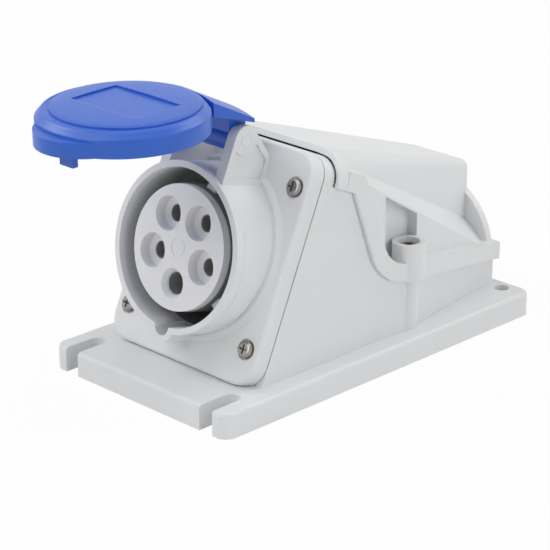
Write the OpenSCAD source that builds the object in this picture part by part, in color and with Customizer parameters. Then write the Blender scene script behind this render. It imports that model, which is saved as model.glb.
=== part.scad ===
// Angled surface mount socket: a five pole round socket on a leaning flange, in a two piece splash proof box.
// Frame: origin at the middle of the plate's back face, +Z away from the wall, the socket looks along -Y.

/* [Plate] */
// Length of the mounting plate
plate_l = 166; // [150:1:190]
// Thickness of the plate
plate_t = 9.5; // [8:0.5:12]
// Plate beyond the box on each side
plate_margin = 8.2; // [7:0.1:11]
// Corner radius of the plate
plate_r = 4.5; // [2:0.5:7]
// Softened top edge of the plate
plate_edge = 1.2; // [0.6:0.1:2]
// Floor of the box, inside the walls
floor_t = 3; // [2.5:0.5:4]
// Distance across between the fixing holes, front and rear
hole_spacing = 71.6; // [68:0.2:75]
// Width of the two open slots
slot_w = 6.6; // [5:0.2:7.5]
// Plate edge to the centre of a slot's closed end
slot_l = 12.5; // [10:0.5:13]
// Diameter of the two rear holes
rear_hole_d = 6; // [4:0.2:7]
// Plate edge to the centre of the rear holes
rear_hole_edge = 6.2; // [5.5:0.1:7.5]

/* [Box] */
// Wall of the box
box_wall = 2.5; // [2:0.1:3]
// Box beyond the flange on each side
box_over = 0.3; // [0.2:0.1:0.6]
// Half width of the box at its rear end
rear_half = 28.5; // [26:0.5:31]
// Plate's rear edge to the rear wall
rear_setback = 3.3; // [3:0.1:5]
// Front edge of the plate to where the walls start to taper
taper_y = 101; // [95:1:110]
// Depth of the leaning frame behind the flange
frame_depth = 5.2; // [4:0.2:7]
// Open joint that the seal leaves between flange and frame
joint_gap = 0.3; // [0.2:0.05:0.5]
// Thickness of the frame's panel
panel_t = 3; // [2:0.2:3.6]
// Plate's front edge to the foot of the flange
flange_y = 19; // [18:0.5:24]
// Foot of the flange above the plate
flange_lift = 1; // [0.5:0.1:2]
// Lean of the flange from upright, degrees
flange_tilt = 24; // [18:1:28]

/* [Cover] */
// Wall of the cover
cover_wall = 2.4; // [2:0.1:3]
// Gap between the frame and the cover's front edge
cover_gap = 0.6; // [0.4:0.1:1]
// Rise of the cover above the top of the frame
cover_rise = 2.8; // [2.4:0.1:4]
// Overhang of the lip outside the base wall
lip_proud = 1.8; // [1.4:0.1:2.4]
// Width of the lip
lip_w = 6.8; // [6:0.2:8]
// Run of the lip back from the front arch
lip_run = 10.4; // [8:0.2:13]
// Top of the frame down to the lip's lower edge
lip_drop = 9.5; // [8:0.5:12]
// Lean of the lip's steep run from upright, degrees
lip_lean = 20; // [16:1:26]
// Fall of the lip's rear run, degrees
lip_fall = 9.6; // [7:0.2:11]
// Height of the lip's lower edge at the rear wall
lip_rear_z = 19.5; // [18:0.5:21]
// Radius of the lip's bend
lip_bend = 22; // [18:1:25]
// Height that the base wall stands up inside the lip
wall_inside_lip = 4; // [3:0.2:4.4]
// Width of the front arch
arch_w = 5.6; // [4:0.2:7]
// Corner radius of the front arch
arch_r = 11.3; // [10:0.1:12]
// Half width of the spine at its front end
spine_front_half = 35.5; // [33:0.5:36]
// Half width of the spine at its rear end
spine_rear_half = 15.3; // [13:0.5:17]
// Height of the spine's rear end
spine_rear_z = 57; // [54:0.5:60]
// Rounding of the spine's edges at its front end
spine_front_r = 9; // [6:0.5:10]
// Rounding of the spine's edges at its rear end
spine_r = 3; // [2.6:0.2:4]
// Rear face of the box to the spine's rear end
spine_setback = 1.7; // [1:0.1:2.4]
// Front edge of the plate to the front end of the cover's side walls
side_front_y = 77; // [70:1:85]
// Half width of the cover's side walls at their front end
side_front_half = 37.3; // [36.8:0.1:37.5]
// Half width of the cover's side walls at their rear end
side_rear_half = 27.8; // [26.5:0.1:28.2]
// Height of the shoulder's crease at the rear wall
shoulder_rear_z = 22; // [21:0.2:24]
// Sideways fall of the shoulder, degrees
shoulder_fall = 38.3; // [34:0.5:42]
// Rearward fall of the shoulder, degrees
shoulder_slope = 34.7; // [33:0.5:37]
// Radius of the round rear wall
rear_disc_r = 28; // [26:0.5:29]
// Middle of the round rear wall above the lip's lower edge
rear_disc_up = 1.5; // [0.5:0.1:2.5]
// Thickness of the rear wall
rear_wall = 2.9; // [2.6:0.1:3.4]

/* [Cover screws] */
// Half the distance across between the two cover screws
boss_x = 35.5; // [35:0.1:36.5]
// Plate's front edge to the cover screws
boss_y = 104.5; // [102:0.5:107]
// Radius of a cover boss
boss_r = 6.3; // [5.6:0.1:7]
// Height of the top of the bosses
boss_top = 43.8; // [42:0.2:46]
// Radius of the screw columns on the base
column_r = 3.9; // [3.5:0.1:4.4]
// Top of a column below the top of the base wall
column_drop = 0.7; // [0.4:0.1:1]
// Floor of the box to the end of the cover screws
cover_screw_end = 11; // [9:0.5:13]
// Radius of the recess for the screw head
head_recess_r = 4.4; // [4:0.1:5]
// Depth of the recess for the screw head
head_recess = 3.6; // [3:0.1:5]
// Thickness of the shoulder's edge over the screwdriver pocket
crease_t = 0.8; // [0.6:0.1:1.2]
// Length of the screwdriver pocket
pocket_l = 20; // [17:0.5:22]

/* [Socket] */
// Diameter of the opening for the plug
opening_d = 57.8; // [55:0.2:60]
// Wall of the shroud
shroud_t = 2.3; // [2:0.1:3]
// Flange beyond the shroud on each side
flange_side = 6.3; // [6:0.1:8]
// Flange beyond the shroud at top and bottom
flange_end = 12.05; // [11.5:0.05:14]
// Thickness of the flange
flange_t = 6; // [5:0.2:7]
// Corner radius of the flange
flange_r = 9; // [7:0.5:9]
// Flange's front face to the end of the shroud's bare inside
flange_wall = 2.7; // [2.2:0.1:3.4]
// Softened front edge of the flange
flange_edge = 1.2; // [0.6:0.1:2]
// Angle between the flange and the socket's axis, degrees
socket_skew = 10; // [6:1:12]
// Rim of the shroud in front of the flange
shroud_reach = 17.7; // [16:0.1:20]
// Depth of the opening for the plug
opening_depth = 34; // [32:0.5:36]
// Thickness of the opening's floor
opening_floor = 6; // [4:0.5:7]
// Radius of the keyway groove
key_r = 3.5; // [3:0.1:3.8]
// Wall round the keyway
key_wall = 2.4; // [2:0.1:2.8]

/* [Contacts] */
// Diameter of the contact carrier's face
insert_d = 45.7; // [44:0.1:46]
// Face of the carrier behind the rim
insert_setback = 1.7; // [1:0.1:3]
// Height of the two ribs that stop the carrier turning
rib_h = 1.8; // [1.2:0.1:2]
// Width of the two ribs
rib_w = 4.4; // [3:0.2:5]
// Front ends of the two ribs behind the rim
rib_front = 7.4; // [5:0.2:10]
// Radius of the flush mark in the middle of the face
mark_r = 3.5; // [2.5:0.1:4]
// Diameter of the circle of contacts
contact_pcd = 26.5; // [25.5:0.1:27.5]
// Diameter of the line contacts' plug pins
pin_d = 5; // [4.8:0.1:5.2]
// Diameter of the earth contact's plug pin
earth_pin_d = 7; // [6.6:0.1:7.2]
// Wall of the contact sleeves
sleeve_t = 0.8; // [0.6:0.1:0.9]
// Diameter of the mouths in the face
mouth_d = 12.8; // [12:0.1:13.2]
// Diameter of the earth contact's mouth
earth_mouth_d = 11.2; // [10.4:0.1:12]
// Depth of the mouths
mouth_depth = 4.5; // [3:0.5:6]
// Depth of the sleeves behind the rim
sleeve_depth = 12; // [10:0.5:16]
// Thickness of the carrier's base
carrier_base = 4; // [3:0.5:5]
// Radius of the carrier's base and the terminal block
block_r = 29; // [28.6:0.1:29.6]
// Length of the terminal block
block_l = 18; // [17:0.5:20]
// Length of the terminal barrels
barrel_l = 14; // [12:0.5:14.5]
// Radius of the wire holes in the barrels
wire_r = 1.9; // [1.5:0.1:2.2]
// Radius of the circle of carrier screws
carrier_screw_circle = 25.4; // [25.2:0.1:25.6]

/* [Screws] */
// Radius of the shanks of the flange, cover and carrier screws
shank_r = 1.75; // [1.5:0.05:1.9]
// Radius of the pan heads
head_r = 3.3; // [3.1:0.1:3.5]
// Height of the pan heads
head_h = 2.4; // [2:0.1:2.6]
// Rounding of the pan heads
head_round = 1.4; // [1:0.1:1.8]
// Length across the arms of the cross recess
recess_l = 3.6; // [3:0.1:4]
// Width of an arm of the cross recess
recess_w = 0.7; // [0.5:0.1:1]
// Depth of the cross recess
recess_depth = 1.5; // [1:0.1:1.7]
// Radius of the terminal screws
terminal_screw_r = 1.4; // [1.2:0.1:1.6]
// Flange screws in from the flange's sides
screw_side = 6.6; // [6:0.1:7.2]
// Flange screws in from the flange's ends
screw_end = 13.4; // [12:0.1:14]
// Screw length below the flange
flange_screw_l = 13; // [10:0.5:14]

/* [Hinge and lid] */
// Hinge pin radius
hinge_r = 2.2; // [1.8:0.1:2.6]
// Hinge pin above the shroud
hinge_above = 11.3; // [10.8:0.1:13]
// Hinge pin behind the rim
hinge_behind = 10.1; // [9.6:0.1:11]
// Gap between the hinge ears
ear_gap = 24; // [20:0.5:26]
// Thickness of a hinge ear
ear_t = 4.2; // [3.5:0.1:5]
// Radius of the ears' round tops
ear_r = 5.5; // [5:0.1:5.8]
// Lean of the ears' rear edges from upright, degrees
ear_lean = 32; // [28:1:36]
// Angle that the lid stands open, degrees
lid_open = 75; // [0:1:100]
// Radius of the lid inside the shroud's outside
lid_inset = 1; // [0.6:0.1:1.2]
// Lid's edge in front of the rim when it is shut
lid_gap = 0.6; // [0.5:0.1:1]
// Height of the lid's skirt
skirt_h = 7; // [6:0.2:9]
// Wall of the lid
lid_wall = 2; // [1.8:0.1:2.4]
// Crest of the ring in from the skirt
ring_in = 2.8; // [2.4:0.1:3.2]
// Edge of the dome in from the skirt
dome_in = 4; // [3.6:0.1:4.6]
// Height of the dome above the ring
dome_h = 1.5; // [1.2:0.1:2.5]
// Width of the flat field in the dome
label_w = 33.2; // [28:0.2:36]
// Length of the flat field in the dome
label_l = 20.5; // [16:0.5:24]
// Middle of the flat field, from the lid's middle towards the hinge
label_v = 1.3; // [0:0.1:2]
// Depth of the flat field below the top of the dome
label_sink = 0.9; // [0.6:0.1:1]
// Reach of the thumb edge beyond the skirt
thumb_reach = 4.3; // [3:0.1:5]
// Radius of the thumb edge
thumb_r = 18; // [15:0.5:20]
// Fall of the arm from the cap to its tail
arm_drop = 10.2; // [9:0.1:11]
// Reach of the arm beyond the hinge pin
arm_reach = 4.4; // [3.5:0.1:5]
// Thickness of the arm's tail
arm_t = 1.5; // [1.2:0.1:2]
// Rise of the arm's middle above its sides
arm_crown = 2.6; // [1.5:0.1:3]
// Width of the nib that holds the plug in
nib_w = 6.7; // [5:0.1:8]
// Length of the nib below the skirt
nib_l = 6.4; // [5:0.1:7]

/* [Seals and inlet] */
// Width of the lid's seal
seal_w = 4; // [3:0.1:5]
// Thickness of the seals
seal_t = 1.5; // [1.2:0.1:1.7]
// Radius of the cable hole in the grommet
cable_r = 6.5; // [5:0.1:7.5]
// Wall of the grommet
grommet_t = 3.8; // [3:0.1:4.2]
// Height of the grommet's beads
bead_h = 1.7; // [1.2:0.1:2]
// Length of the grommet's inner bead
bead_l = 2; // [1.5:0.1:3]
// Height of the cable hole above the wall
entry_z = 22.5; // [21.5:0.1:23.5]

/* [Clearances] */
// Clearance where moulded pieces slide together
fit = 0.2; // [0.1:0.05:0.3]
// Clearance where a piece is held tight
press = 0.02; // [0.01:0.01:0.05]
// Running clearance of the lid on its pin
running = 0.05; // [0.03:0.01:0.08]
// Gap beside the hinge knuckle
side_play = 0.3; // [0.2:0.05:0.4]

/* [Hidden] */
$fn = 64;
far = 200;
eps = 0.01;
over = 1;

shell = "#dfe2e2";
face = "#d6d9d9";
blue = "#2f63cf";
steel = "#b9b6b0";
brass = "#c9a24a";
rubber = "#4a4c4e";

opening_r = opening_d / 2;
shroud_r = opening_r + shroud_t;
chamber_r = opening_r + seal_t;
body_r = chamber_r + shroud_t;
flange_w = 2 * (shroud_r + flange_side);
flange_h = 2 * (shroud_r + flange_end);
box_half = flange_w / 2 + box_over;
plate_w = 2 * (box_half + plate_margin);
rear_y = plate_l - rear_setback;
lip_y = rear_y + lip_proud;
socket_tilt = flange_tilt - socket_skew;
seat = flange_t + joint_gap;
frame_back = seat + frame_depth;
cover_front = frame_back + cover_gap;
tongue_in = 1.6;
tongue_l = 4.2;
arch_lap = 0.5;
arch_in = 0.1;
insert_r = insert_d / 2;
sleeve_r = pin_d / 2 + sleeve_t;
earth_sleeve_r = earth_pin_d / 2 + sleeve_t;
carrier_back = opening_depth + opening_floor;
block_front = carrier_back + carrier_base;
block_back = block_front + block_l;
barrel_step = 0.9;
earth_angle = 180;
contact_angles = [252, 324, 36, 108, earth_angle];
carrier_screw_angles = [0, 156, 204];
rib_angles = [14, 132];
hinge_v = shroud_r + hinge_above;
hinge_n = -hinge_behind;
ear_out = ear_gap / 2 + ear_t;
lid_r = shroud_r - lid_inset;
skirt_top = lid_gap + skirt_h;
steep_a = -90 + lip_lean;
seal_in = lid_r - seal_w;
arch_top = flange_h + cover_rise;
spine_front = behind(cover_front, arch_top);
spine_back = [rear_y - spine_setback, spine_rear_z];
disc_z = lip_rear_z + rear_disc_up;
column_top = edge_z(boss_y) + wall_inside_lip - column_drop;
grommet_r = cable_r + grommet_t;
bead_r = grommet_r + bead_h;
wall_back = rear_y - rear_wall;
inlet_back = wall_back - bead_l;
screw_boss_r = 5;
boss_end = 2;
hole_spare = 1;
screw_sink = 0.8;
root_h = 1.6;
key_out = opening_r + key_r + key_wall;
key_back = shroud_reach - key_out * tan(socket_skew) + flange_t - joint_gap;
key_end = 1.5;
plug_seal_in = insert_r + rib_h + fit;
small_screw = 0.8;
clamp_t = 6;
gasket_w = 2.4;
gasket_r = shroud_r + flange_side - seal_t;
earth_mouth = 2;
wire_room = 1;
line_angles = [for (i = [0 : 3]) contact_angles[i]];
split_l = 7;
sleeve_split = 0.8;
terminal_screw_l = 5;
terminal_slot = 0.5;
ear_foot = sqrt(shroud_r * shroud_r - ear_out * ear_out);
ear_edge = 2.2;
ear_sink = 0.8;
knuckle_r = 5;
skirt_round = 1.2;
seal_rebate = 2;
lid_inside = skirt_top - lid_wall;
ring_h = 1.8;
ring_round = 1.4;
ring_r = lid_r - ring_in;
dome_r = lid_r - dome_in;
dome_back = 1.4;
dome_edge = 0.4;
nib_t = 2.4;
nib_out = lid_r - lid_wall - nib_t;
groove = 0.2;
thumb_drop = 1.5;
knuckle_w = 4;
bead_taper = 0.7;

// Points and lines of the side view, as [y, z] with y from the plate's front edge
function ray(a) = [cos(a), sin(a)];
function meet(p, a, q, b) = p + ray(a) * cross(q - p, ray(b)) / cross(ray(a), ray(b));
function arc(c, r, a, b, n) = [for (i = [0 : n]) c + r * ray(a + (b - a) * i / n)];
function turned(list) = [for (i = [len(list) - 1 : -1 : 0]) list[i]];

// A point behind the flange's front face, by its depth and its height up the flange
function behind(depth, v) = [flange_y, plate_t + flange_lift]
    + v * ray(90 - flange_tilt) + depth * ray(-flange_tilt);

rim = behind(0, flange_h / 2) + shroud_reach * ray(180 - socket_tilt);

// The edge where cover and base meet, moved by d into the cover: front run, steep run, bend, rear run
function edge_front(d) = behind(cover_front, flange_h - lip_drop + d);
function edge_knee(d) = meet(edge_front(d), -flange_tilt,
    behind(cover_front + lip_run, flange_h - lip_drop) + d * ray(steep_a + 90), steep_a);
function edge_rear(d) = [rear_y, lip_rear_z] + d * ray(90 - lip_fall);
function edge_corner(d) = meet(edge_knee(d), steep_a, edge_rear(d), -lip_fall);
function bend_centre(d) = edge_corner(d) + (lip_bend - d) / cos((steep_a + lip_fall) / 2)
    * ray((steep_a - lip_fall) / 2 + 90);
function edge(d) = concat([edge_knee(d)],
    arc(bend_centre(d), lip_bend - d, steep_a - 90, -lip_fall - 90, 12),
    [meet(edge_rear(d), -lip_fall, [far, 0], 90)]);

function edge_z(y) = edge_corner(0)[1] - (y - edge_corner(0)[0]) * tan(lip_fall);

// Height of the spine's top line
function spine_line(y) = spine_front[1]
    + (y - spine_front[0]) * (spine_back[1] - spine_front[1]) / (spine_back[0] - spine_front[0]);

// Half width of the cover's side walls at a distance from the plate's front edge
function cover_half(y) = side_front_half
    + (side_rear_half - side_front_half) * (y - side_front_y) / (rear_y - side_front_y);

// Height of the crease where the shoulder meets the cover's side wall
function crease(y) = shoulder_rear_z + (rear_y - y) * tan(shoulder_slope)
    + (side_rear_half - cover_half(y)) * tan(shoulder_fall);

module from_front() {
    translate([0, -plate_l / 2, 0]) children();
}

module on_flange() {
    from_front() translate([0, flange_y, plate_t + flange_lift]) rotate([90 - flange_tilt, 0, 0]) children();
}

module in_socket() {
    from_front() translate([0, rim[0], rim[1]]) rotate([90 - socket_tilt, 0, 0]) children();
}

module lid_place() {
    in_socket() translate([0, hinge_v, hinge_n]) rotate([-lid_open, 0, 0])
        translate([0, -hinge_v, -hinge_n]) children();
}

// A side view outline, extruded across the part
module across(points, w = far) {
    from_front() rotate([90, 0, 90]) linear_extrude(w, center = true) polygon(points);
}

module rounded(w, h, r) {
    square([w - 2 * r, h], center = true);
    square([w, h - 2 * r], center = true);
    for (x = [-1, 1], y = [-1, 1]) translate([x * (w / 2 - r), y * (h / 2 - r)]) circle(r, $fn = 32);
}

// A slab with a softened top edge
module soft_slab(w, h, t, r, edge_r) {
    knee = edge_r * (1 - cos(45));
    hull() {
        linear_extrude(t - edge_r) rounded(w, h, r);
        linear_extrude(t - knee) rounded(w - 2 * knee, h - 2 * knee, r - knee);
        linear_extrude(t) rounded(w - 2 * edge_r, h - 2 * edge_r, r - edge_r);
    }
}

// The outline of the flange and frame, taken in by d
module flange_outline(w, d) {
    translate([0, flange_h / 2]) rounded(w - 2 * d, flange_h - 2 * d, flange_r - d);
}

// Plan of the box walls, moved out by d
module plan(d) {
    y0 = flange_y - flange_t;
    polygon([[-box_half - d, y0], [box_half + d, y0], [box_half + d, taper_y], [rear_half + d, rear_y + d],
        [-rear_half - d, rear_y + d], [-box_half - d, taper_y]]);
}

module plan_block(d, z0, z1) {
    from_front() translate([0, 0, z0]) linear_extrude(z1 - z0) plan(d);
}

// Everything below the meeting edge moved by d, and behind the plane at a depth behind the flange
module below_edge(d, depth, z0) {
    foot = (z0 - plate_t - flange_lift + depth * sin(flange_tilt)) / cos(flange_tilt);
    across(concat([behind(depth, foot), [far, z0]], turned(edge(d)),
        [behind(depth, flange_h - lip_drop + d)]));
}

// Everything above the meeting edge moved by d, from a plane that far ahead of the cover's front
module above_edge(d, ahead = 0) {
    across(concat([behind(cover_front - ahead, flange_h - lip_drop + d)], edge(d),
        [[far, far], behind(cover_front - ahead, far)]));
}

// The half space above the right hand shoulder, sunk by d
module over_shoulder(d) {
    n = [tan(shoulder_fall), tan(shoulder_slope), 1];
    from_front() translate([side_rear_half, rear_y, shoulder_rear_z - d * norm(n)])
        rotate([0, acos(1 / norm(n)), atan2(n[1], n[0])])
            translate([-far, -far, 0]) cube(2 * far);
}

module both_sides() {
    children();
    mirror([1, 0, 0]) children();
}

module flange_screw_places() {
    for (x = [-1, 1], v = [screw_end, flange_h - screw_end])
        on_flange() translate([x * (flange_w / 2 - screw_side), v, 0]) children();
}

// Places on a circle round the socket's axis, clockwise from 12 o'clock as seen from the front
module round_socket(angles, r) {
    for (a = angles) in_socket() rotate([0, 0, -a]) translate([0, r, 0]) children();
}

// A pan head screw pointing down, with its head's underside at zero
module pan_screw(l) {
    difference() {
        union() {
            rotate_extrude() polygon(concat([[0, 0], [head_r, 0]],
                arc([head_r - head_round, head_h - head_round], head_round, 0, 90, 6), [[0, head_h]]));
            translate([0, 0, -l]) cylinder(l + eps, r = shank_r - press);
        }
        for (a = [0, 90]) rotate(a) translate([-recess_l / 2, -recess_w / 2, head_h - recess_depth])
            cube([recess_l, recess_w, head_h]);
    }
}

module base_box() color(shell) difference() {
    union() {
        soft_slab(plate_w, plate_l, plate_t, plate_r, plate_edge);
        intersection() {
            plan_block(0, plate_t / 2, far);
            union() {
                base_walls();
                frame_solid();
            }
        }
        for (x = [-boss_x, boss_x]) from_front() translate([x, boss_y, floor_t])
            cylinder(column_top - floor_t, r = column_r);
        intersection() {
            from_front() translate([0, rear_y - box_wall, entry_z]) rotate([-90, 0, 0])
                cylinder(box_wall + lip_proud, r = bead_r);
            below_edge(-fit, 0, plate_t / 2);
        }
    }
    box_inside();
    base_holes();
}

// All below the base walls' top, which steps up inside the lip behind the cover's arch
module base_walls() {
    start = seat + frame_depth / 2;
    step = cover_front + arch_w;
    level = flange_h - lip_drop;
    across(concat([behind(start, -plate_t), [far, 0]], turned(edge(wall_inside_lip)),
        [behind(step, level + wall_inside_lip), behind(step, level), behind(start, level)]));
}

// The leaning frame, with the tongue that the cover's front arch goes round
module frame_solid() {
    half = box_half + over;
    on_flange() {
        translate([0, 0, -frame_back]) linear_extrude(frame_depth) {
            flange_outline(2 * (box_half - arch_in), 0);
            translate([-half, -plate_t]) square([2 * half, plate_t + flange_h - lip_drop - over]);
        }
        translate([0, 0, -frame_back - tongue_l]) linear_extrude(tongue_l + eps)
            flange_outline(2 * box_half, tongue_in);
    }
}

// The wiring space: all inside the walls and behind the frame's panel, but the columns and screw bosses
module box_inside() {
    panel_back = seat + panel_t;
    difference() {
        intersection() {
            plan_block(-box_wall, floor_t, far);
            across([behind(panel_back, -far), [rear_y, -far], [rear_y, far], behind(panel_back, far)]);
            on_flange() translate([0, 0, -far]) linear_extrude(far) {
                flange_outline(2 * box_half, tongue_in + box_wall);
                translate([-box_half, -far]) square([2 * box_half, far + flange_h - lip_drop - flange_r]);
            }
        }
        for (x = [-boss_x, boss_x]) from_front() translate([x, boss_y, 0]) cylinder(far, r = column_r);
        flange_screw_places() translate([0, 0, -seat - flange_screw_l - boss_end])
            cylinder(flange_screw_l, r = screw_boss_r);
    }
}

module base_holes() {
    in_socket() translate([0, 0, -block_back]) cylinder(block_back, r = body_r + 2 * fit);
    flange_screw_places() translate([0, 0, -seat - flange_screw_l]) cylinder(far, r = shank_r);
    for (x = [-hole_spacing / 2, hole_spacing / 2]) from_front() {
        translate([x, plate_l - rear_hole_edge, -over]) cylinder(plate_t + 2 * over, d = rear_hole_d);
        translate([x, slot_l, -over]) cylinder(plate_t + 2 * over, d = slot_w);
        translate([x - slot_w / 2, -over, -over]) cube([slot_w, slot_l + over, plate_t + 2 * over]);
    }
    for (x = [-boss_x, boss_x]) from_front() translate([x, boss_y, floor_t])
        cylinder(far, r = shank_r);
    on_flange() translate([0, flange_h / 2, -seat]) linear_extrude(far)
        rounded(flange_w + 2 * fit, flange_h + 2 * fit, flange_r + fit);
    entry_hole();
}

module entry_hole() {
    from_front() translate([0, rear_y - 3 * box_wall, entry_z]) rotate([-90, 0, 0])
        cylinder(far, r = grommet_r + fit);
}

module rear_cover() color(shell) difference() {
    union() {
        difference() {
            intersection() {
                union() {
                    behind_flange(cover_front + arch_w - arch_lap) union() {
                        cover_lip();
                        cover_sides(0);
                    }
                    cover_arch();
                    cover_spine(0);
                    rear_disc();
                }
                above_edge(0);
            }
            intersection() {
                both_sides() driver_pocket(0);
                above_edge(lip_w);
            }
        }
        for (x = [-boss_x, boss_x]) from_front() translate([x, boss_y, edge_z(boss_y)])
            cylinder(boss_top - edge_z(boss_y), r = boss_r);
    }
    difference() {
        union() {
            cover_sides(cover_wall);
            cover_spine(cover_wall);
        }
        intersection() {
            both_sides() driver_pocket(cover_wall);
            above_edge(lip_w - cover_wall);
        }
    }
    intersection() {
        plan_block(fit, -far, far);
        below_edge(wall_inside_lip + seal_t, cover_front + arch_w - fit, -far);
    }
    on_flange() translate([0, 0, -frame_back - tongue_l - fit]) linear_extrude(tongue_l + cover_gap)
        flange_outline(2 * box_half, -2 * fit);
    for (x = [-boss_x, boss_x]) from_front() translate([x, boss_y, 0]) {
        cylinder(column_top, r = column_r + fit);
        cylinder(boss_top, r = shank_r + fit);
        translate([0, 0, boss_top - head_recess]) cylinder(head_recess + over, r = head_recess_r);
    }
    entry_hole();
}

// The lip that hangs over the base walls
module cover_lip() {
    difference() {
        plan_block(lip_proud, 0, far);
        above_edge(lip_w, cover_gap);
    }
}

// The arch at the cover's front, a hair inside the lip
module cover_arch() {
    on_flange() translate([0, arch_top / 2, -cover_front - arch_w]) linear_extrude(arch_w + cover_gap)
        rounded(2 * (box_half + lip_proud - arch_in), arch_top, arch_r);
}

module rear_disc() {
    from_front() translate([0, wall_back, disc_z]) rotate([-90, 0, 0]) cylinder(rear_wall, r = rear_disc_r);
}

// The cover's side walls and two sloping shoulders, taken in by d
module cover_sides(d) {
    y1 = rear_y - d * rear_wall / cover_wall;
    difference() {
        from_front() translate([0, 0, -over]) linear_extrude(far) polygon([[-cover_half(0) + d, 0],
            [cover_half(0) - d, 0], [side_rear_half - d, y1], [-side_rear_half + d, y1]]);
        both_sides() over_shoulder(d);
        across([[0, spine_line(0) - d], [far, spine_line(far) - d], [far, 2 * far], [0, 2 * far]]);
    }
}

// The spine between the shoulders, narrower towards the rear, taken in by d
module cover_spine(d) {
    hull() {
        on_flange() translate([0, arch_top - d, -cover_front - over]) linear_extrude(over + cover_gap + d)
            translate([0, -flange_h / 4])
                rounded(2 * (spine_front_half - d), flange_h / 2, spine_front_r - d);
        from_front() translate([0, spine_back[0] - d, spine_rear_z / 2 - d]) rotate([90, 0, 0])
            linear_extrude(over) rounded(2 * (spine_rear_half - d), spine_rear_z, spine_r);
    }
}

// Room for the screw and its driver under the shoulder's crease, on the right hand side, grown by d
module driver_pocket(d) {
    y0 = boss_y + boss_r + 2 * fit - pocket_l - d;
    y1 = y0 + pocket_l + 2 * d;
    intersection() {
        across([[y0, 0], [y1, 0], [y1, crease(y1) - crease_t + d], [y0, crease(y0) - crease_t + d]]);
        translate([boss_x - boss_r - fit - d, -far, 0]) cube(2 * far);
    }
}

module cover_gasket() color(rubber) difference() {
    intersection() {
        plan_block(-fit, 0, far);
        below_edge(wall_inside_lip + seal_t, cover_front + arch_w, 0);
    }
    below_edge(wall_inside_lip, 0, -far);
    plan_block(-box_wall + fit, -far, far);
    for (x = [-boss_x, boss_x]) from_front() translate([x, boss_y, 0]) cylinder(far, r = shank_r + fit);
    entry_hole();
}

module cover_screws() color(steel) for (x = [-boss_x, boss_x])
    from_front() translate([x, boss_y, boss_top - head_recess])
        pan_screw(boss_top - head_recess - cover_screw_end);

module socket_housing() color(shell) {
    difference() {
        union() {
            difference() {
                on_flange() translate([0, flange_h / 2, -flange_t])
                    soft_slab(flange_w, flange_h, flange_t, flange_r, flange_edge);
                flange_screw_places() {
                    translate([0, 0, -flange_t - over]) cylinder(flange_t + 2 * over, r = shank_r + fit);
                    translate([0, 0, -screw_sink]) cylinder(far, r = head_r + 3 * fit);
                }
            }
            on_flange() translate([0, flange_h / 2, -eps])
                cylinder(root_h, r1 = shroud_r + 2 * root_h, r2 = shroud_r + root_h);
            in_socket() translate([0, 0, -carrier_back]) cylinder(carrier_back, r = shroud_r);
            behind_flange(flange_t / 2) in_socket() translate([0, 0, -carrier_back])
                cylinder(carrier_back, r = body_r);
            in_socket() translate([0, -opening_r, -key_back]) cylinder(key_back, r = key_r + key_wall);
            both_sides() hinge_ear();
        }
        in_socket() translate([0, 0, -opening_depth]) cylinder(far, r = opening_r);
        behind_flange(flange_wall) in_socket() translate([0, 0, -opening_depth])
            cylinder(opening_depth, r = chamber_r);
        in_socket() translate([0, -opening_r, key_end - key_back]) cylinder(far, r = key_r);
        in_socket() translate([0, 0, -far]) cylinder(far, r = insert_r + fit);
        round_socket(carrier_screw_angles, carrier_screw_circle) translate([0, 0, -carrier_back - eps])
            cylinder(opening_floor - hole_spare / 2, r = small_screw * shank_r);
        carrier_ribs(fit);
        flange_seal();
    }
}

// What lies deeper than d behind the flange's front face
module behind_flange(d) {
    intersection() {
        children();
        on_flange() translate([-far / 2, -far / 2, -far - d]) cube(far);
    }
}

// The seal that lines the opening behind the flange and lies on its floor, where the plug's collar ends
module plug_seal() color(rubber) behind_flange(flange_wall + press) in_socket() rotate_extrude()
    polygon([[plug_seal_in, -opening_depth], [chamber_r - press, -opening_depth], [chamber_r - press, 0],
        [opening_r, 0], [opening_r, seal_t - opening_depth], [plug_seal_in, seal_t - opening_depth]]);

// One hinge ear: a leaning plate on the shroud and flange, with a recess in its outer face below the pin
module hinge_ear() {
    difference() {
        in_socket() translate([ear_gap / 2, 0, 0]) rotate([90, 0, 90]) linear_extrude(ear_t)
            ear_outline(0, ear_foot - shroud_t / 2, -1);
        in_socket() translate([ear_out - ear_sink, 0, 0]) rotate([90, 0, 90]) linear_extrude(ear_t)
            difference() {
                ear_outline(ear_edge, ear_foot + ear_edge, ear_edge);
                translate([hinge_v, hinge_n]) circle(ear_r);
            }
        in_socket() translate([0, hinge_v, hinge_n]) rotate([0, 90, 0]) {
            cylinder(far, r = hinge_r + press);
            translate([0, 0, ear_out - fit]) cylinder(2 * fit, r1 = hinge_r, r2 = hinge_r + 2 * fit);
        }
    }
}

// Side view of an ear as [up, out] of the socket, taken in by d, from its foot and the flange's face
module ear_outline(d, foot, off_flange) {
    pin = [hinge_v, hinge_n];
    front = pin + (ear_r - d - eps) * ray(90 - socket_skew);
    rear_a = ear_lean + socket_tilt - 180;
    rear = pin + (ear_r - d - eps) * ray(rear_a + 90);
    wall = [0, off_flange - shroud_reach];
    polygon([front, meet(front, 180 - socket_skew, [foot, 0], 90), meet([foot, 0], 90, wall, -socket_skew),
        meet(rear, rear_a, wall, -socket_skew), rear]);
    translate(pin) circle(ear_r - d);
}

// The seal between flange and frame, in a groove in the flange's back
module flange_gasket() color(rubber) flange_seal();

module flange_seal() {
    on_flange() translate([0, flange_h / 2, -seat]) difference() {
        cylinder(joint_gap + seal_t, r = gasket_r);
        translate([0, 0, -over]) cylinder(far, r = gasket_r - gasket_w);
    }
}

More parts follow.
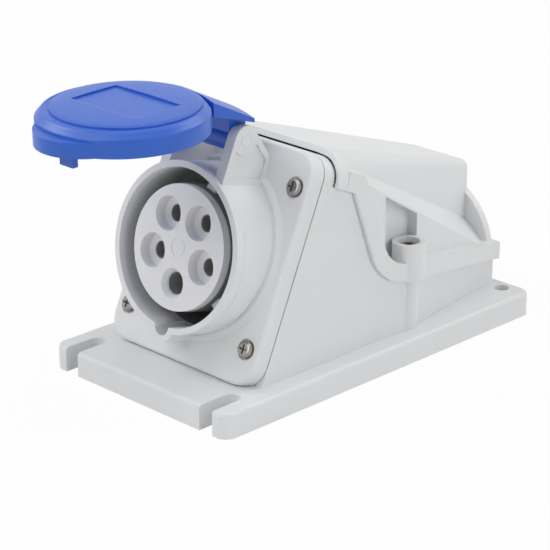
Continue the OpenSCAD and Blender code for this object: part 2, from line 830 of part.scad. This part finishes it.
module flange_screws() color(steel) flange_screw_places() translate([0, 0, -screw_sink])
    pan_screw(flange_t + flange_screw_l - screw_sink - hole_spare);

module contact_carrier() color(face) difference() {
    union() {
        in_socket() translate([0, 0, -carrier_back - eps])
            cylinder(carrier_back + eps - insert_setback, r = insert_r);
        in_socket() translate([0, 0, -block_front]) cylinder(carrier_base, r = block_r);
        carrier_ribs(0);
    }
    in_socket() translate([0, 0, -insert_setback - fit]) difference() {
        cylinder(far, r = mark_r);
        cylinder(far, r = mark_r - 2 * fit);
    }
    round_socket(line_angles, contact_pcd / 2) {
        translate([0, 0, -far]) cylinder(2 * far, r = sleeve_r + fit / 2);
        translate([0, 0, -insert_setback - mouth_depth]) cylinder(far, d = mouth_d);
    }
    round_socket([earth_angle], contact_pcd / 2) {
        translate([0, 0, -far]) cylinder(2 * far, r = earth_sleeve_r + fit / 2);
        translate([0, 0, -insert_setback - earth_mouth])
            cylinder(earth_mouth + eps, r1 = earth_sleeve_r, d2 = earth_mouth_d);
    }
    round_socket(carrier_screw_angles, carrier_screw_circle) translate([0, 0, -far])
        cylinder(far, r = small_screw * shank_r + fit);
}

// Two ribs on the carrier's side, in notches in the opening's floor that stop it turning, grown by d
module carrier_ribs(d) {
    round_socket(rib_angles, insert_r) translate([-rib_w / 2 - d, -over, -carrier_back - eps - d])
        cube([rib_w + 2 * d, over + rib_h + d, carrier_back + eps - rib_front + d]);
}

module terminal_block() color(face) difference() {
    in_socket() translate([0, 0, -block_back]) cylinder(block_l, r = block_r);
    round_socket(line_angles, contact_pcd / 2) barrel_room(sleeve_r);
    round_socket([earth_angle], contact_pcd / 2) barrel_room(earth_sleeve_r);
    round_socket(carrier_screw_angles, carrier_screw_circle) {
        translate([0, 0, -far]) cylinder(far, r = small_screw * shank_r + fit);
        translate([0, 0, -far - block_front - clamp_t]) cylinder(far, r = small_screw * head_r + fit);
    }
}

// Room in the block for one terminal barrel, with its wire hole and the way to its screw
module barrel_room(r) {
    translate([0, 0, -block_front - barrel_l - fit])
        cylinder(barrel_l + fit + eps, r = r + barrel_step + fit / 2);
    translate([0, 0, -far]) cylinder(far, r = wire_r + wire_room);
    translate([0, 0, -block_front - barrel_l / 2]) rotate([-90, 0, 0])
        cylinder(far, r = terminal_screw_r + 3 * fit);
}

module carrier_screws() color(steel) round_socket(carrier_screw_angles, carrier_screw_circle)
    translate([0, 0, -block_front - clamp_t]) rotate([180, 0, 0]) scale(small_screw)
        pan_screw((clamp_t + carrier_base + opening_floor - hole_spare) / small_screw);

// A sleeve contact with its terminal barrel, split at the front so that it grips the plug's pin
module contact(angle, r, bore_r) color(brass) difference() {
    round_socket([angle], contact_pcd / 2) {
        translate([0, 0, -block_front - eps]) cylinder(block_front + eps - sleeve_depth, r = r);
        translate([0, 0, -block_front - barrel_l]) cylinder(barrel_l, r = r + barrel_step);
    }
    round_socket([angle], contact_pcd / 2) {
        translate([0, 0, -carrier_back]) cylinder(far, r = bore_r);
        translate([-sleeve_split / 2, -far, -sleeve_depth - split_l])
            cube([sleeve_split, 2 * far, split_l + over]);
        translate([0, 0, -block_front - barrel_l - eps]) cylinder(barrel_l - sleeve_t, r = wire_r);
        translate([0, 0, -block_front - barrel_l / 2]) rotate([-90, 0, 0])
            cylinder(far, r = terminal_screw_r + running);
    }
}

module contact_l1() contact(contact_angles[0], sleeve_r, pin_d / 2);
module contact_l2() contact(contact_angles[1], sleeve_r, pin_d / 2);
module contact_l3() contact(contact_angles[2], sleeve_r, pin_d / 2);
module contact_n() contact(contact_angles[3], sleeve_r, pin_d / 2);
module contact_earth() contact(contact_angles[4], earth_sleeve_r, earth_pin_d / 2);

// Slotted clamping screws, one in each terminal barrel
module terminal_screws() color(steel) round_socket(contact_angles, contact_pcd / 2)
    translate([0, wire_r, -block_front - barrel_l / 2]) rotate([-90, 0, 0]) difference() {
        cylinder(terminal_screw_l, r = terminal_screw_r);
        translate([-far, -terminal_slot / 2, terminal_screw_l - terminal_slot])
            cube([2 * far, terminal_slot, over]);
    }

module hinge_pin() color(face) in_socket() translate([-ear_out, hinge_v, hinge_n]) rotate([0, 90, 0])
    cylinder(2 * ear_out, r = hinge_r);

module lid() color(blue) lid_place() {
    difference() {
        union() {
            lid_cap();
            lid_arm();
        }
        translate([0, 0, -far]) cylinder(far + lid_inside, r = lid_r - lid_wall);
        translate([0, 0, -far]) cylinder(far + lid_inside + ring_h, r = seal_in - lid_wall);
        translate([0, 0, -far]) cylinder(far + lid_gap + seal_rebate, r = lid_r - lid_wall / 2);
        translate([0, 0, -far]) cylinder(far + lid_gap - fit, r = shroud_r + 2 * fit);
        translate([-far, hinge_v, hinge_n]) rotate([0, 90, 0]) cylinder(2 * far, r = hinge_r + running);
        label_field();
    }
    lid_nib(0);
}

// The nib under the thumb edge that holds a plug in, grown by d
module lid_nib(d) {
    translate([-nib_w / 2 - d, -nib_out - d, lid_gap - nib_l])
        cube([nib_w + 2 * d, nib_t + 2 * d, nib_l + lid_inside - lid_gap + eps]);
}

// The round cap: skirt, a ring that rises to its crest, a dome set back towards the hinge, and the thumb edge
module lid_cap() {
    rotate_extrude() polygon(concat([[0, lid_gap], [lid_r, lid_gap]],
        arc([lid_r - skirt_round, skirt_top - skirt_round], skirt_round, 0, 60, 4),
        arc([ring_r, skirt_top + ring_h - ring_round], ring_round, 60, 120, 6),
        [[ring_r - 2 * ring_round, skirt_top + ring_h - groove], [0, skirt_top + ring_h - groove]]));
    dome = [for (a = [0 : 90 / 8 : 90])
        [dome_r * cos(a), ring_h + dome_edge + (dome_h - dome_edge) * sin(a)]];
    translate([0, dome_back, skirt_top]) rotate_extrude() polygon(concat([[0, 0], [dome_r, 0]], dome));
    translate([0, thumb_r - lid_r - thumb_reach, lid_gap]) cylinder(skirt_h - thumb_drop, r = thumb_r);
}

// A flat field sunk into the dome
module label_field() {
    translate([-label_w / 2, label_v - label_l / 2, skirt_top + ring_h + dome_h - label_sink])
        cube([label_w, label_l, far]);
}

// Height of the arm's side edges above the rim, on their way from the cap to the tail
function arm_n(v) = skirt_top - groove - arm_drop * (v - ring_r) / (hinge_v + arm_reach - ring_r);

// The arm from the cap to the hinge, crowned across, with the knuckle that turns between the ears
module lid_arm() {
    hull() {
        arm_section(ring_r, skirt_h - lid_wall);
        arm_section(hinge_v + arm_reach, arm_t);
    }
    knuckle = ear_gap / 2 - side_play;
    translate([-knuckle, 0, 0]) rotate([90, 0, 90]) linear_extrude(2 * knuckle) {
        translate([hinge_v, hinge_n]) circle(knuckle_r);
        polygon([[hinge_v - knuckle_w, hinge_n], [hinge_v + knuckle_w, hinge_n],
            [hinge_v + knuckle_w, arm_n(hinge_v + knuckle_w) - arm_t / 2],
            [hinge_v - knuckle_w, arm_n(hinge_v - knuckle_w) - arm_t / 2]]);
    }
}

// A thin slice across the arm
module arm_section(v, t) {
    half = ear_out - fit;
    r = (half * half + arm_crown * arm_crown) / (2 * arm_crown);
    a = asin(half / r);
    translate([0, v, arm_n(v)]) rotate([90, 0, 0]) linear_extrude(2 * eps)
        polygon(concat(arc([0, arm_crown - r], r, 90 - a, 90 + a, 8), [[-half, -t], [half, -t]]));
}

module lid_seal() color(rubber) lid_place() difference() {
    rotate_extrude() polygon([[seal_in, lid_gap - fit], [lid_r - lid_wall / 2, lid_gap - fit],
        [lid_r - lid_wall / 2, lid_gap + seal_rebate], [lid_r - lid_wall, lid_gap + seal_rebate],
        [lid_r - lid_wall, lid_inside], [seal_in, lid_inside]]);
    lid_nib(fit);
}

// The cable inlet: a rubber bush with a groove that holds the edge of the hole in the rear wall
module entry_grommet() color(rubber) from_front() translate([0, 0, entry_z]) rotate([-90, 0, 0])
    rotate_extrude() polygon([[cable_r, inlet_back], [bead_r - bead_taper, inlet_back],
        [bead_r, wall_back - fit], [grommet_r, wall_back - fit], [grommet_r, lip_y], [bead_r, lip_y],
        [bead_r - bead_taper, lip_y + seal_t], [cable_r, lip_y + seal_t]]);

base_box();
rear_cover();
cover_gasket();
cover_screws();
socket_housing();
plug_seal();
flange_gasket();
flange_screws();
contact_carrier();
terminal_block();
carrier_screws();
contact_l1();
contact_l2();
contact_l3();
contact_n();
contact_earth();
terminal_screws();
hinge_pin();
lid();
lid_seal();
entry_grommet();
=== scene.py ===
import math

import bmesh
import bpy
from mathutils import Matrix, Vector


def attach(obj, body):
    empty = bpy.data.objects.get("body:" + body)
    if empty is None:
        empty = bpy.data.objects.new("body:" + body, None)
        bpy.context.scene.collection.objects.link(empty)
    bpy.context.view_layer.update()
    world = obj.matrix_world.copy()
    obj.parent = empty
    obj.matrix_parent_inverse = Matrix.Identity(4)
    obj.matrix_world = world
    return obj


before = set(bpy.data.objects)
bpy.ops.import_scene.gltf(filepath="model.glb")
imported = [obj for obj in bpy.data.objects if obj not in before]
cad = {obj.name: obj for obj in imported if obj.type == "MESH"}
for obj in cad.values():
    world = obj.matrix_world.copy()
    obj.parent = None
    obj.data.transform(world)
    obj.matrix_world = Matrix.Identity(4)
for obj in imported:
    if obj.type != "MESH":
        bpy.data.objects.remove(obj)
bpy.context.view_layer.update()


# The setting: a plain white table that keeps a soft shadow, and the camera in front of the socket's right side.
# The camera's place, height and lens come from the plate's corners, the flange and the round rim in the picture.
def linear(code):
    """An sRGB hex colour as linear RGBA."""
    parts = [int(code[i:i + 2], 16) / 255 for i in (1, 3, 5)]
    return [p / 12.92 if p <= 0.04045 else ((p + 0.055) / 1.055) ** 2.4 for p in parts] + [1.0]


def add(tree, kind, inputs=(), **settings):
    """Adds one node: settings are its own options, inputs are values or the sockets that feed it."""
    made = tree.nodes.new(kind)
    for name, value in settings.items():
        setattr(made, name, value)
    for name, value in dict(inputs).items():
        if isinstance(value, bpy.types.NodeSocket):
            tree.links.new(value, made.inputs[name])
        else:
            made.inputs[name].default_value = value
    return made


def new_material(name):
    """A material, its empty tree and its output's surface socket."""
    material = bpy.data.materials.new(name)
    material.use_nodes = True
    material.node_tree.nodes.clear()
    return material, material.node_tree, add(material.node_tree, "ShaderNodeOutputMaterial").inputs["Surface"]


def seen_directly(tree):
    """One for what the camera sees, straight, mirrored or through glass."""
    path = add(tree, "ShaderNodeLightPath")
    mirrored = add(tree, "ShaderNodeMath", {0: path.outputs["Is Camera Ray"], 1: path.outputs["Is Glossy Ray"]},
                   operation="MAXIMUM")
    return add(tree, "ShaderNodeMath", {0: mirrored.outputs[0], 1: path.outputs["Is Transmission Ray"]},
               operation="MAXIMUM").outputs[0]


reach = 4.0
table_mesh = bpy.data.meshes.new("table_top")
table_mesh.from_pydata([(-reach, -reach, 0), (reach, -reach, 0), (reach, reach, 0), (-reach, reach, 0)], [],
                       [(0, 1, 2, 3)])
table = bpy.data.objects.new("table_top", table_mesh)
bpy.context.scene.collection.objects.link(table)
laminate, tree, surface = new_material("white laminate")
lit = add(tree, "ShaderNodeBsdfDiffuse", {"Color": linear("#f4f4f4")})
glow = add(tree, "ShaderNodeEmission", {"Color": linear("#ffffff"), "Strength": 1.0})
glow_share = add(tree, "ShaderNodeMath", {0: seen_directly(tree), 1: 0.95}, operation="MULTIPLY")
both = add(tree, "ShaderNodeMixShader", {0: glow_share.outputs[0], 1: lit.outputs[0], 2: glow.outputs[0]})
tree.links.new(both.outputs[0], surface)
table_mesh.materials.append(laminate)

room = bpy.data.worlds.new("white room")
bpy.context.scene.world = room
room.use_nodes = True
tree = room.node_tree
tree.nodes.clear()
dim = add(tree, "ShaderNodeBackground", {"Color": linear("#ffffff"), "Strength": 0.03})
white = add(tree, "ShaderNodeBackground", {"Color": linear("#ffffff"), "Strength": 1.0})
either = add(tree, "ShaderNodeMixShader", {0: seen_directly(tree), 1: dim.outputs[0], 2: white.outputs[0]})
add(tree, "ShaderNodeOutputWorld", {"Surface": either.outputs[0]})


def softbox(name, place, size, power, mirrored=True):
    """A square softbox that looks at the middle of the object. One that isn't mirrored gives no glare."""
    lamp = bpy.data.lights.new(name, "AREA")
    lamp.size = size
    lamp.energy = power
    made = bpy.data.objects.new(name, lamp)
    bpy.context.scene.collection.objects.link(made)
    middle = Vector((0, 0, 0.05))
    made.location = place
    made.visible_glossy = mirrored
    made.rotation_euler = (middle - Vector(place)).to_track_quat("-Z", "Y").to_euler()


softbox("overhead softbox", (0.1, 0.0, 1.6), 1.2, 5.0)
softbox("front softbox", (0.0, -1.5, 0.7), 0.9, 5.2)
softbox("high front softbox", (0.0, -1.0, 1.35), 0.9, 4.5)
softbox("high left softbox", (-1.1, -0.6, 1.1), 0.9, 10.2)
softbox("right softbox", (1.5, 0.2, 0.65), 1.4, 11.0, mirrored=False)
softbox("rear softbox", (0.3, 1.2, 1.1), 0.9, 7.7)

camera = bpy.data.objects.new("camera", bpy.data.cameras.new("camera"))
bpy.context.scene.collection.objects.link(camera)
bpy.context.scene.camera = camera
camera.data.sensor_width = 36.0
camera.data.lens = 148.5
turn, rise, away = math.radians(45.06), math.radians(21.43), 0.8481
target = Vector((0.0, -0.0132, 0.02985))
back = Vector((math.sin(turn) * math.cos(rise), -math.cos(turn) * math.cos(rise), math.sin(rise)))
camera.location = target + away * back
camera.rotation_euler = (-back).to_track_quat("-Z", "Y").to_euler()
bpy.context.scene.view_settings.view_transform = "Standard"

# The base: mounting plate, low walls and the leaning frame, one shot of pale grey polyamide.
# The steel mould is lightly spark eroded, which leaves a fine even grain and a satin sheen, and the melt's
# flow leaves faint cloudy tones. Its edges have the small radius that a mould needs.
MM = 0.001


def moulded(name, tone, cloud_tone, gloss=(0.36, 0.5), cloud_mm=22.0, grain_mm=0.8, grain_depth=0.05):
    """A satin moulding. The real grain is about 0.2 mm: it is drawn coarser so that it shows."""
    material, tree, surface = new_material(name)
    spot = add(tree, "ShaderNodeTexCoord").outputs["Object"]
    clouds = add(tree, "ShaderNodeTexNoise", {"Vector": spot, "Scale": 1 / (cloud_mm * MM), "Detail": 3.0})
    colour = add(tree, "ShaderNodeMix", {0: clouds.outputs["Fac"], 6: linear(tone), 7: linear(cloud_tone)},
                 data_type="RGBA")
    grain = add(tree, "ShaderNodeTexNoise", {"Vector": spot, "Scale": 1 / (grain_mm * MM), "Detail": 4.0})
    sheen = add(tree, "ShaderNodeMapRange", {"Value": grain.outputs["Fac"], "From Min": 0.3, "From Max": 0.7,
                                             "To Min": gloss[0], "To Max": gloss[1]})
    bump = add(tree, "ShaderNodeBump", {"Strength": grain_depth, "Distance": 0.05 * MM,
                                        "Height": grain.outputs["Fac"]})
    skin = add(tree, "ShaderNodeBsdfPrincipled", {
        "Base Color": colour.outputs[2], "Roughness": sheen.outputs["Result"], "Normal": bump.outputs["Normal"],
        "IOR": 1.5})
    tree.links.new(skin.outputs[0], surface)
    return material


def dress(name, material):
    """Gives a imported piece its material."""
    cad[name].data.materials.clear()
    cad[name].data.materials.append(material)


def soften(name, radius_mm):
    """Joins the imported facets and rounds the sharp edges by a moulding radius."""
    weld = cad[name].modifiers.new("joined", "WELD")
    weld.merge_threshold = 0.002 * MM
    edge = cad[name].modifiers.new("moulding radius", "BEVEL")
    edge.width = radius_mm * MM
    edge.segments = 3
    edge.limit_method = "ANGLE"
    edge.angle_limit = math.radians(30)
    edge.use_clamp_overlap = True
    edge.harden_normals = True


grey = moulded("pale grey polyamide, moulded", "#e5e6e7", "#e1e2e3")
dress("base_box", grey)
soften("base_box", 0.5)


# The parting line: where the mould's side slide met the base, a hair of plastic crosses the plate's right
# margin and runs down its edge. It belongs to the same shot as the base.
def new_piece(name, points, faces, material):
    """A closed mesh from points in millimetres, with its material, riding on the housing."""
    mesh = bpy.data.meshes.new(name)
    shell = bmesh.new()
    corners = [shell.verts.new(Vector(p) * MM) for p in points]
    for face in faces:
        shell.faces.new([corners[v] for v in face]).smooth = True
    bmesh.ops.recalc_face_normals(shell, faces=shell.faces)
    for edge in shell.edges:
        edge.smooth = edge.calc_face_angle(0.0) < math.radians(35)
    shell.to_mesh(mesh)
    shell.free()
    mesh.materials.append(material)
    made = bpy.data.objects.new(name, mesh)
    bpy.context.scene.collection.objects.link(made)
    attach(made, "housing")


line_y, line_r, line_sides, line_foot = -59.7, 0.12, 8, 0.3
plate_x, plate_z, wall_x, edge_r = 46.0, 9.5, 37.9, 1.2
round_in = 0.3 * edge_r
route = [((wall_x, plate_z), 0), ((plate_x - edge_r, plate_z), 0), ((plate_x - round_in, plate_z - round_in), 45),
         ((plate_x, plate_z - edge_r), 90), ((plate_x, line_foot), 90)]
points, faces = [], []
for (x, z), facing in route:
    for k in range(line_sides):
        a = 2 * math.pi * k / line_sides
        out = line_r * (math.sin(a) - 0.5)
        points.append((x + out * math.sin(math.radians(facing)), line_y + line_r * math.cos(a),
                       z + out * math.cos(math.radians(facing))))
for i in range(len(route) - 1):
    for k in range(line_sides):
        n = (k + 1) % line_sides
        here, there = i * line_sides, (i + 1) * line_sides
        faces.append((here + k, here + n, there + n, there + k))
faces += [range(line_sides), range((len(route) - 1) * line_sides, len(route) * line_sides)]
new_piece("parting_line", points, faces, grey)

# The cable inlet: a black EPDM bush, compression moulded, snapped into the hole in the rear wall.
# Rubber is matt, with a faint mottle where it was powdered.
rubber = moulded("black EPDM rubber", "#2b2c2d", "#343536", gloss=(0.6, 0.8), cloud_mm=6.0, grain_mm=0.5)
dress("entry_grommet", rubber)
soften("entry_grommet", 0.3)


# The contacts: turned brass sleeves, split at the front, with terminal barrels clamped by screws.
# Turned brass is bright, with slow brown tarnish.
def metal(name, tone, worn_tone, sheen, mark_mm, mark_depth):
    """A turned or plated metal with marks. Real tool marks are about 0.1 mm: they are drawn coarser to show."""
    material, tree, surface = new_material(name)
    spot = add(tree, "ShaderNodeTexCoord").outputs["Object"]
    marks = add(tree, "ShaderNodeTexNoise", {"Vector": spot, "Scale": 1 / (mark_mm * MM), "Detail": 5.0})
    colour = add(tree, "ShaderNodeMix", {0: marks.outputs["Fac"], 6: linear(tone), 7: linear(worn_tone)},
                 data_type="RGBA")
    rough = add(tree, "ShaderNodeMapRange", {"Value": marks.outputs["Fac"], "To Min": sheen[0],
                                             "To Max": sheen[1]})
    bump = add(tree, "ShaderNodeBump", {"Strength": mark_depth, "Distance": 0.05 * MM,
                                        "Height": marks.outputs["Fac"]})
    skin = add(tree, "ShaderNodeBsdfPrincipled", {
        "Base Color": colour.outputs[2], "Metallic": 1.0, "Roughness": rough.outputs["Result"],
        "Normal": bump.outputs["Normal"]})
    tree.links.new(skin.outputs[0], surface)
    return material


brass = metal("turned brass", "#c8a050", "#a98238", (0.22, 0.42), 4.0, 0.05)
for contact in ("contact_l1", "contact_l2", "contact_l3", "contact_n", "contact_earth"):
    dress(contact, brass)

# The sleeves' front ends: thin rolled rings in the carrier's bores, before the split.
# Their dull grey metal is painted shade: it stands in for the shade deep inside the five holes.
rim, socket_lean = Vector((0, -63.583, 54.293)), math.radians(14)
axis_out = Vector((0, -math.cos(socket_lean), math.sin(socket_lean)))
axis_up = Vector((0, math.sin(socket_lean), math.cos(socket_lean)))
axis_right = Vector((1, 0, 0))
hole_shade_metal = metal("dull grey metal, painted hole shade", "#ccd0d4", "#c0c4c8", (0.5, 0.65), 1.5, 0.05)
contact_circle, end_rear, bore_gap, end_t, end_chamfer = 13.25, 11.95, 0.02, 0.26, 0.08


def ring(name, centre, profile, arc, material):
    """Sweeps a closed profile of (radius, depth behind the rim) round a centre, between two clock angles."""
    steps, size, whole = 48, len(profile), arc[1] - arc[0] == 360
    rays = [math.radians(arc[0] + (arc[1] - arc[0]) * k / steps) for k in range(steps if whole else steps + 1)]
    points, faces = [], []
    for a in rays:
        ray = math.cos(a) * axis_up + math.sin(a) * axis_right
        points += [centre + r * ray - d * axis_out for r, d in profile]
    for k in range(steps):
        n = (k + 1) % len(rays)
        faces += [(k * size + i, n * size + i, n * size + (i + 1) % size, k * size + (i + 1) % size)
                  for i in range(size)]
    if not whole:
        faces += [range(size), range(steps * size, (steps + 1) * size)]
    new_piece(name, points, faces, material)


# Each ring darkens its hole with painted shade.
for name, clock, bore_r, end_front in (("sleeve_end_shade_l1", 252, 3.4, 6.35), ("sleeve_end_shade_l2", 324, 3.4, 6.35),
                                       ("sleeve_end_shade_l3", 36, 3.4, 6.35), ("sleeve_end_shade_n", 108, 3.4, 6.35),
                                       ("sleeve_end_shade_earth", 180, 4.4, 3.9)):
    a, outer = math.radians(clock), bore_r - bore_gap
    inner = outer - end_t
    centre = rim + contact_circle * (math.cos(a) * axis_up + math.sin(a) * axis_right)
    profile = [(outer, end_front + end_chamfer), (outer - end_chamfer, end_front), (inner + end_chamfer, end_front),
               (inner, end_front + end_chamfer), (inner, end_rear), (outer, end_rear)]
    ring(name, centre, profile, (0, 360), hole_shade_metal)

# The contact carrier and the block behind it: moulded in a slightly lighter grey, with five mouths in the face.
# Both are clamped to the socket housing from behind.
insert = moulded("light grey polyamide insert", "#e9e9eb", "#e5e5e7")
for piece in ("contact_carrier", "terminal_block"):
    dress(piece, insert)
soften("contact_carrier", 0.3)

# The screws: cold headed steel with a cross recess, zinc plated.
# The plating is bright, with fine marks from turning and tumbling.
zinc = metal("zinc plated steel", "#827e7b", "#a8a4a0", (0.18, 0.38), 0.6, 0.15)
for screws in ("cover_screws", "flange_screws", "carrier_screws", "terminal_screws"):
    dress(screws, zinc)

# The seals: strips under the cover and a ring behind the flange, cut from black EPDM sheet.
# The lining of the plug's opening is a softer EPDM in dark grey, moulded in place. A thin lip of it round the
# carrier is painted shade: a dark sheet over the carrier's side, which lies in shade deep in the gap.
for seal in ("cover_gasket", "flange_gasket"):
    dress(seal, rubber)
lining_and_shade_lip = moulded("dark grey EPDM lining", "#747576", "#6e6f70", gloss=(0.6, 0.8), cloud_mm=6.0, grain_mm=0.5)
dress("plug_seal", lining_and_shade_lip)
# The lip round the carrier: painted shade on the carrier's side, deep in the gap.
carrier_r, lip_front, lip_rear, lip_t, lip_gap = 22.85, 4.9, 33.0, 0.3, 0.02
ring("shade_lip", rim, [(carrier_r + lip_gap, lip_front), (carrier_r + lip_t, lip_front + lip_t),
                       (carrier_r + lip_t, lip_rear), (carrier_r + lip_gap, lip_rear)],
     (0, 360), lining_and_shade_lip)

# The socket housing: flange, shroud and hinge ears, moulded in one piece in the same grey as the base.
# A low bare field stands on the right side of the shroud, and a thin wall covers the lining's upper arc.
dress("socket_housing", grey)
soften("socket_housing", 0.4)
shroud_r, field_root, field_rise, field_slope, field_front, field_rear = 31.2, 0.06, 0.3, 0.2, 3.5, 12.4
field_arc = (66, 135)
ring("bare_field", rim, [(shroud_r - field_root, field_front), (shroud_r + field_rise, field_front + field_slope),
                         (shroud_r + field_rise, field_rear - field_slope), (shroud_r - field_root, field_rear)],
     field_arc, grey)
opening_r, wall_gap, wall_t, wall_taper, wall_front, wall_rear = 28.9, 0.02, 0.2, 1.0, 19.5, 32.4
wall_arc = (-70, 40)
ring("upper_wall", rim, [(opening_r - wall_gap, wall_front), (opening_r - wall_t, wall_front + wall_taper),
                         (opening_r - wall_t, wall_rear), (opening_r - wall_gap, wall_rear)],
     wall_arc, grey)

# The hinge pin: a plain rod of the carrier's light grey polyamide, moulded, with rounded ends.
# It is pressed through the ears and lies flush with them.
dress("hinge_pin", insert)
soften("hinge_pin", 0.3)

# The lid: a blue polyamide cap on the pin, standing open, with a black seal inside its skirt.
# Its mould was polished, so it has more sheen than the grey pieces.
blue = moulded("blue polyamide, moulded", "#2861c9", "#255cc1", gloss=(0.3, 0.42))
dress("lid", blue)
soften("lid", 0.8)
dress("lid_seal", rubber)

# The rear cover: a thin walled moulding in the base's grey, with soft edges, dropped over the base walls.
# Two screws in deep bosses hold it.
dress("rear_cover", grey)
soften("rear_cover", 0.7)
